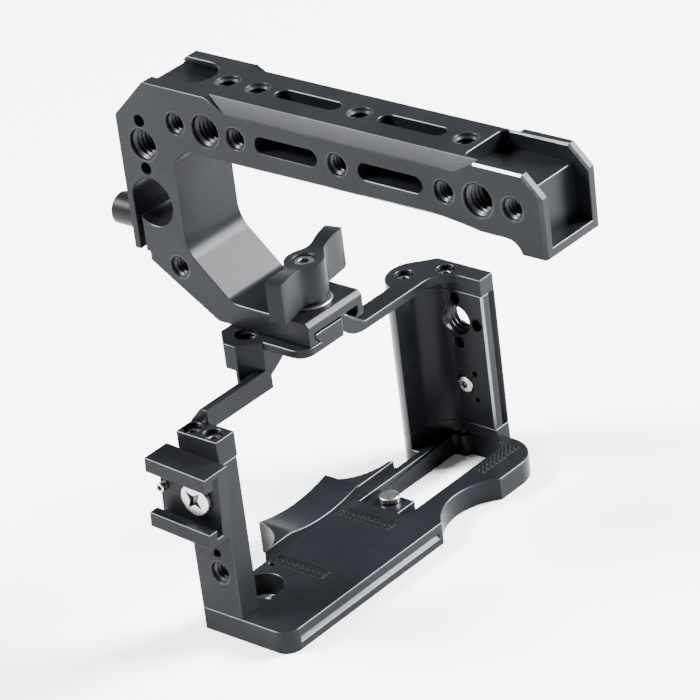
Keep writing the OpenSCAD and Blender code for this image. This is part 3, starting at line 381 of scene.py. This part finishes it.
def knurl(node, mat, height=0.42):
    """A seat pad with real diamond knurling: rows of small pyramids between crossing grooves."""
    step, diamond_long, diamond_wide = 0.1, 1.9, 1.47
    groove, slope, rim_flat, rim_rise = 0.06, 1.9, 0.1, 0.25
    lo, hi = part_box(node)
    lo, hi = lo / MM, hi / MM
    long_y = hi.y - lo.y > hi.x - lo.x
    nx, ny = int((hi.x - lo.x) / step), int((hi.y - lo.y) / step)
    floor = hi.z - height
    bm = bmesh.new()
    grid = []
    for i in range(nx + 1):
        row = []
        for j in range(ny + 1):
            x, y = lo.x + (hi.x - lo.x) * i / nx, lo.y + (hi.y - lo.y) * j / ny
            along, across = (y - lo.y, x - lo.x) if long_y else (x - lo.x, y - lo.y)
            u, v = along / diamond_long, across / diamond_wide
            a = abs((u + v) % 1.0 - 0.5) * 2
            b = abs((u - v) % 1.0 - 0.5) * 2
            peak = clamped((1 - max(a, b) - groove) * slope)
            rim = min(i, nx - i, j, ny - j) * step
            peak *= clamped((rim - rim_flat) / rim_rise)
            row.append(bm.verts.new(Vector((x, y, floor + height * peak)) * MM))
        grid.append(row)
    for i in range(nx):
        for j in range(ny):
            bm.faces.new((grid[i][j], grid[i + 1][j], grid[i + 1][j + 1], grid[i][j + 1]))
    rim = [grid[i][0] for i in range(nx + 1)] + [grid[nx][j] for j in range(1, ny + 1)]
    rim += [grid[i][ny] for i in range(nx - 1, -1, -1)]
    rim += [grid[0][j] for j in range(ny - 1, 0, -1)]
    low = [bm.verts.new(Vector((v.co.x, v.co.y, lo.z * MM))) for v in rim]
    for k in range(len(rim)):
        q = (k + 1) % len(rim)
        bm.faces.new((rim[k], low[k], low[q], rim[q]))
    bm.faces.new(low)
    bmesh.ops.recalc_face_normals(bm, faces=bm.faces)
    shade(bm, 12)
    ob = put(node + "_knurled", baked(bm, node + "_knurled"), BODY[node], [mat])
    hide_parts(node)
    return ob


# ---------------------------------------------------------------- screws
def hexagon(key_r):
    """Radius of a hexagon socket, by angle."""
    side = math.pi / 3
    return lambda a: key_r * math.cos(side / 2) / math.cos(a % side - side / 2)


def cross(length, width):
    """Radius of a four-pointed driver recess with tapering arms, by angle."""
    waist = width * 0.62

    def radius(a):
        q = abs((a + math.pi / 4) % (math.pi / 2) - math.pi / 4)
        return 1 / ((1 - math.sin(2 * q)) / length + math.sin(2 * q) / waist)
    return radius


def screw(bm, place, head_r, head_h, shank_r, shank_len, recess=None, depth=1.2, dome=0.0,
          sides=72):
    """A lathed screw with its drive cut into the head. place puts the head's top at z = 0."""
    angles = [2 * math.pi * k / sides for k in range(sides)]
    edge = min(0.25, head_h * 0.3)
    edge_steps = 4
    tip_share, tip_len = 0.7, 0.3 * shank_r

    def ring(r, z):
        return [polar(bm, place, r, a, z) for a in angles]

    def shaped(grow, z):
        return [polar(bm, place, recess(a) * grow, a, z) for a in angles]

    rings = [ring(shank_r * tip_share, -head_h - shank_len),
             ring(shank_r, -head_h - shank_len + tip_len), ring(shank_r, -head_h),
             ring(head_r - edge, -head_h), ring(head_r, -head_h + edge),
             ring(head_r, -edge - dome)]
    for k in range(1, edge_steps + 1):
        t = k / edge_steps * math.pi / 2
        rings.append(ring(head_r - edge * (1 - math.cos(t)) - (1 - math.cos(t)) * dome,
                          -edge - dome + (edge + dome * 0.45) * math.sin(t)))
    top_r = head_r - edge - dome
    if recess:
        big = max(recess(a) for a in angles)
        rings.append(ring((top_r + big * 1.15) / 2, -dome * 0.2))
        # Mouth, throat, floor and the point of the drill in it
        for grow, z in ((1.1, 0), (1.0, -0.12), (0.86, -depth), (0.3, -depth - 0.2)):
            rings.append(shaped(grow, z))
        end, inside = -depth - 0.25, len(rings) - 4
    else:
        rings.append(ring(top_r * 0.6, -dome * 0.12))
        rings.append(ring(top_r * 0.25, 0))
        end, inside = 0, len(rings)
    # Faces inside the drive take the second material, the darker steel that paints the recess's
    # shade
    for i, (low, high) in enumerate(zip(rings, rings[1:])):
        for k in range(sides):
            q = (k + 1) % sides
            face = bm.faces.new((low[k], low[q], high[q], high[k]))
            face.material_index = int(i >= inside)
    bm.faces.new(list(reversed(rings[0])))
    tip = bm.verts.new(place @ Vector((0, 0, end)) * MM)
    for k in range(sides):
        face = bm.faces.new((rings[-1][k], rings[-1][(k + 1) % sides], tip))
        face.material_index = int(bool(recess))


def screws(node, places, mats, *shape, **more):
    bm = bmesh.new()
    for place in places:
        screw(bm, place, *shape, **more)
    return finished(bm, node, mats, 32)


def facing(x, y, z, inward, turn=0.0):
    """Where a head's top sits at x, y, z and its shank runs along inward."""
    turned = Matrix.Rotation(math.radians(turn), 4, "Z")
    return frame_of((x, y, z), Vector(inward) * -1) @ turned


# ---------------------------------------------------------------- small bars
def prism(name, outline, low, high, body, mat, edge=0.15, axis="z"):
    """A milled bar of the given outline, with broken edges."""
    bm = bmesh.new()
    turn = {"z": lambda u, v, w: (u, v, w), "x": lambda u, v, w: (w, u, v)}[axis]
    rows = [[bm.verts.new(Vector(turn(u, v, w)) * MM) for u, v in outline] for w in (low, high)]
    n = len(outline)
    bm.faces.new(rows[0])
    bm.faces.new(rows[1])
    for k in range(n):
        bm.faces.new((rows[0][k], rows[0][(k + 1) % n], rows[1][(k + 1) % n], rows[1][k]))
    bmesh.ops.recalc_face_normals(bm, faces=bm.faces)
    bmesh.ops.bevel(bm, geom=list(bm.edges), offset=edge * MM, segments=2, profile=0.5,
                    affect="EDGES", clamp_overlap=True)
    shade(bm)
    return put(name, baked(bm, name), body, [mat])


# ---------------------------------------------------------------- wing lever
def wing_outline(count=180):
    """The lever's plan as radii: a hub that flows into two wings, wider at their ends."""
    half, hub, root_w, flare, blend = 18.25, 5.75, 2.05, 0.75, 4.2
    crowding, search = 2.1, 40

    def field(x, y):
        """Signed distance to the outline."""
        width = root_w + flare * (abs(x) / half) ** 2
        box = max(abs(x) - half, abs(y) - width)
        ring = math.hypot(x, y) - hub
        h = clamped(0.5 + 0.5 * (ring - box) / blend)
        return ring * (1 - h) + box * h - blend * h * (1 - h)

    # The points crowd towards the wings' ends
    angles, radii = [], []
    for i in range(count):
        u = 4 * i / count
        part, side = u - math.floor(u), math.floor(u)
        bend = part ** crowding if side % 2 == 0 else 1 - (1 - part) ** crowding
        angles.append((side + bend) * math.pi / 2)
    for a in angles:
        low, high = 3.0, 24.0
        for _ in range(search):
            mid = (low + high) / 2
            if field(mid * math.cos(a), mid * math.sin(a)) < 0:
                low = mid
            else:
                high = mid
        radii.append(low)
    return angles, radii


def wing_lever(mat):
    turn, hub_top, edge = 12.1, 98.2, 0.4
    foot_r, foot_out_r, foot_h, foot_bevel = 3.2, 5.4, 0.75, 0.2
    bore_r, bore_deep, mouth_r, mouth_h = 3.2, 4.5, 3.6, 0.35
    rise_from, rise_run, under = 5.5, 8, 0.8
    lo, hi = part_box("wing_lever")
    lo, hi = lo / MM, hi / MM
    x, y = LEVER_AXIS
    top, low = hi.z, lo.z
    angles, radii = wing_outline()
    turned = Matrix.Translation((x, y, 0)) @ Matrix.Rotation(math.radians(turn), 4, "Z")
    bm = bmesh.new()

    def lift(px):
        t = clamped((abs(px) - rise_from) / rise_run)
        return (top - hub_top) * t * t * (3 - 2 * t)

    def ring(radius, z, rising=False):
        out = []
        for a, r in zip(angles, radii):
            rr = radius(r)
            raised = z + (lift(rr * math.cos(a)) if rising else 0)
            out.append(polar(bm, turned, rr, a, raised))
        return out

    rings = [ring(lambda r: foot_r, low), ring(lambda r: foot_out_r - foot_bevel, low),
             ring(lambda r: foot_out_r, low + foot_h), ring(lambda r: r - edge, low + under),
             ring(lambda r: r, low + under + edge), ring(lambda r: r, hub_top - edge, True),
             ring(lambda r: r - edge * 0.3, hub_top - edge * 0.3, True),
             ring(lambda r: r - edge, hub_top, True)]
    for f in (0.8, 0.6, 0.45, 0.3, 0.15):
        rings.append(ring(lambda r, f=f: mouth_r + (r - edge - mouth_r) * f, hub_top, True))
    rings += [ring(lambda r: mouth_r, hub_top), ring(lambda r: bore_r, hub_top - mouth_h),
              ring(lambda r: bore_r, hub_top - bore_deep)]
    n = len(angles)
    for a, b in zip(rings, rings[1:]):
        for k in range(n):
            q = (k + 1) % n
            bm.faces.new((a[k], a[q], b[q], b[k]))
    return finished(bm, "wing_lever", [mat], 40)


# ---------------------------------------------------------------- stage
def stage():
    bm = bmesh.new()
    reach, parts = 4.0, 8
    rows = [[bm.verts.new((reach * (2 * i / parts - 1), reach * (2 * j / parts - 1), 0))
             for j in range(parts + 1)] for i in range(parts + 1)]
    for i in range(parts):
        for j in range(parts):
            bm.faces.new((rows[i][j], rows[i + 1][j], rows[i + 1][j + 1], rows[i][j + 1]))
    ob = bpy.data.objects.new("studio_floor", baked(bm, "studio_floor"))
    bpy.context.scene.collection.objects.link(ob)
    ob.data.materials.append(stage_material("floor_paper", (0.96, 0.965, 0.97)))


def softbox(name, direction, distance, size, power, colour=(1, 1, 1)):
    target = Vector((0, 0, 0.08))
    place = target + Vector(direction).normalized() * distance
    data = bpy.data.lights.new(name, "AREA")
    data.shape = "RECTANGLE"
    data.size, data.size_y = size
    data.energy = power
    data.color = colour
    ob = bpy.data.objects.new(name, data)
    bpy.context.scene.collection.objects.link(ob)
    ob.location = place
    ob.rotation_mode = "QUATERNION"
    ob.rotation_quaternion = (target - place).to_track_quat("-Z", "Y")


def lights():
    world = bpy.data.worlds.new("studio")
    world.use_nodes = True
    tree = world.node_tree
    back = tree.nodes["Background"]
    back.inputs["Strength"].default_value = 1.0
    # Pale near the horizon, dim above, so that level faces stay dark
    coord = tree.nodes.new("ShaderNodeTexCoord")
    split = tree.nodes.new("ShaderNodeSeparateXYZ")
    ramp = tree.nodes.new("ShaderNodeValToRGB")
    pale, dim = ramp.color_ramp.elements
    pale.position, dim.position = 0.10, 0.26
    pale.color = (3.0, 3.02, 3.05, 1)
    dim.color = (0.30, 0.31, 0.33, 1)
    tree.links.new(coord.outputs["Generated"], split.inputs["Vector"])
    tree.links.new(split.outputs["Z"], ramp.inputs["Fac"])
    tree.links.new(ramp.outputs["Color"], back.inputs["Color"])
    bpy.context.scene.world = world
    # One for the grip's near bevel, one for the arm's slanted inner face
    softbox("left_softbox", (-0.469, 0.601, 0.647), 1.5, (0.62, 0.5), 118)
    softbox("right_softbox", (0.70, -0.50, 0.56), 1.4, (0.62, 0.62), 165, (0.97, 0.98, 1.0))


# ---------------------------------------------------------------- edges with a painted highlight or a width of their own
# Faces and holes of the imported part, in mm
GRIP_SIDES = (-18.75, 4.65)
GRIP_REAR, GRIP_UNDER = -92.25, 130.2
WELL_FRONT, RIM_LOW = -63.7, 142.5
FOOT_REAR, FOOT_TOP = -5.1, 85.1
WALL_INSIDE, WALL_REAR = 58.45, -2.4
LOCATED_HOLE, PIN_PITCH, PIN_REACH = (48.42, 128.94), 7.35, 2.1
LEVER_AXIS = (-7.05, 4.1)


def ends(e):
    return [v.co / MM for v in e.verts]


def near(value, target, slack=0.12):
    return abs(value - target) < slack


def on_grip_side(v):
    return any(near(v.x, side) for side in GRIP_SIDES)


def rear_rim(e):
    """The grip's rear end, whose outer rims carry a broad chamfer with a painted highlight."""
    a, b = ends(e)
    back = max(a.y, b.y) < WELL_FRONT and min(a.z, b.z) > RIM_LOW and (a - b).length > 1.5
    return e.is_convex and back and abs(a.x - b.x) < 0.01


def pin_mouth(e):
    """The mouths of the locating holes, too near to the threaded hole for a broken edge."""
    y, z = LOCATED_HOLE
    return all(math.hypot(v.y - y, abs(v.z - z) - PIN_PITCH) < PIN_REACH for v in ends(e))


def foot_edge(e):
    return e.is_convex and all(near(v.y, FOOT_REAR) and near(v.z, FOOT_TOP) for v in ends(e))


def rear_corner(e):
    """The upright edges at the grip's rear end."""
    a, b = ends(e)
    outer = all(near(v.y, GRIP_REAR) and on_grip_side(v) for v in (a, b))
    return e.is_convex and outer and abs(a.z - b.z) > 4


def grip_underside(e):
    a, b = ends(e)
    outer = all(near(v.z, GRIP_UNDER) and on_grip_side(v) for v in (a, b))
    return e.is_convex and outer and abs(a.y - b.y) > 8


def wall_rear_edge(e):
    return e.is_convex and all(near(v.x, WALL_INSIDE) and near(v.y, WALL_REAR) for v in ends(e))


PAD_NODES = ("seat_pad_left", "seat_pad_middle", "seat_pad_right")
PAD_BOXES = [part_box(n) for n in PAD_NODES]
PAD_SLACK = 0.0002


def pad_seat(e):
    """The edges round a seat pad, which stay sharp."""
    s = PAD_SLACK
    return any(all(lo.x - s < v.co.x < hi.x + s and lo.y - s < v.co.y < hi.y + s for v in e.verts)
               for lo, hi in PAD_BOXES)


# ---------------------------------------------------------------- the part
camera()
mats = materials()
# The two bevel finishes after black are a painted highlight and a faint painted highlight
black, faint_highlight, highlight_paint = (mats[k] for k in ("black_anodised", "faint_highlight_edge", "painted_highlight_edge"))
# Screw steel, then the darker steel that paints the shade inside the drives
steel = [mats["stainless_steel"], mats["recess_painted_shade"]]
plain = [black, highlight_paint, faint_highlight]

# Each pass: which edges, how wide in metres, and which finish: 1 is the painted highlight, 2 the
# faint painted highlight
milled("handle", 0.0002, [mats["grip"], highlight_paint, faint_highlight],
       [(rear_rim, 0.0006, 1), (foot_edge, 0.0005, 1),
        (rear_corner, 0.0009, 2), (grip_underside, 0.001, 2)], pin_mouth)
milled("right_wall", 0.00018, plain, [(wall_rear_edge, 0.0006, 1)])
for node in ("top_bar", "left_post", "side_cold_shoe", "accessory_rail", "base_plate"):
    milled(node, 0.00018, plain, leave=pad_seat)
milled("rod_clamp_screw", 0.0004, [mats["black_lever"]] * 3)
milled("lever_washer", 0.00015, [mats["grey_washer"]] * 3)
milled("clamp_stud", 0.0002, [mats["stainless_steel"]] * 3)
wing_lever(mats["black_lever"])
for node in PAD_NODES:
    knurl(node, mats["knurled_pad"])

# Each screw: radius and height of the head, radius and length of the shank
DOWN, UP, RIGHT = (0, 0, -1), (0, 0, 1), (1, 0, 0)
POST_X, POST_Y = -51.1, (5.445, 12.687)
EARS = ((51.75, 20.495), (60.15, 11.605))
BLOCK_SEAT, EAR_SEAT, BASE_SEAT = 62.9, 60.3, 1.4
SMALL = (2.45, 2.2, 1.25)
SMALL_KEY = hexagon(1.2)
screws("bar_screws_left", [facing(POST_X, y, BLOCK_SEAT, DOWN, 12) for y in POST_Y], steel,
       *SMALL, 10, recess=SMALL_KEY)
screws("bar_screws_right", [facing(x, y, EAR_SEAT, DOWN, 40) for x, y in EARS], steel,
       *SMALL, 6.8, recess=SMALL_KEY)
screws("base_screws_left", [facing(POST_X, y, BASE_SEAT, UP) for y in POST_Y], steel,
       *SMALL, 10, recess=SMALL_KEY)
screws("base_screws_right", [facing(x, y, BASE_SEAT, UP) for x, y in EARS], steel,
       *SMALL, 10, recess=SMALL_KEY)
screws("lever_screw", [facing(*LEVER_AXIS, 97.6, DOWN, 20)], steel, 3.0, 2.6, 1.5, 5.2,
       recess=hexagon(1.6), depth=1.3)
shoe = Matrix.Translation((-54.75, 7.07, 47.4)) @ Matrix.Rotation(math.radians(3.7), 4, "X")
screws("shoe_screw", [shoe @ facing(-5.8, 0, 0, RIGHT, 8)], steel, 4.88, 1.8, 2.4, 9.7,
       recess=cross(3.4, 2.3), depth=1.3, dome=0.2)
screws("shoe_stop_pin", [shoe @ facing(-6.2, 12.2, 0, RIGHT)], steel, 1.4, 2.2, 1.3, 1.9,
       recess=lambda a: 0.75, depth=1.5, sides=36)
screws("rail_screw", [facing(57.85, 7.4, 24.98, RIGHT)], steel, 2.68, 1.6, 1.5, 2.9,
       recess=SMALL_KEY, depth=0.8, dome=0.15)
screws("camera_screw", [facing(19.55, 8.0, 7.3, DOWN)], steel, 3.17, 2.05, 2.5, 5.0, dome=0.45)

threads("handle_threads", "handle", handle_holes(), mats["thread"])
threads("cage_threads", "cage", [
    ((-20.2, 17.4, 77.6), DOWN, SMALL_THREAD, 8.8),
    ((WALL_INSIDE, 8.2, 46.2096), RIGHT, LARGE_THREAD, 6.3),
    ((-54.75, 7.068, 20.938), RIGHT, SMALL_THREAD, 5.5),
], mats["thread"])

# The rib over the screw in the opening's corner, and a step in the rear face's groove whose light
# colour is a painted highlight
prism("screw_rib", [(59.3, 8.2), (57.5, 9.2), (57.0, 10.4), (57.0, 12.2), (56.2, 13.35),
                    (59.3, 13.35)], 0.1, 7.05, "cage", black)
prism("rear_groove_highlight_strip", [(-15.0, 2.52), (-15.0, 4.08), (-15.7, 2.52)], -49.5, 12.6, "cage",
      highlight_paint, edge=0.08, axis="x")

stage()
lights()
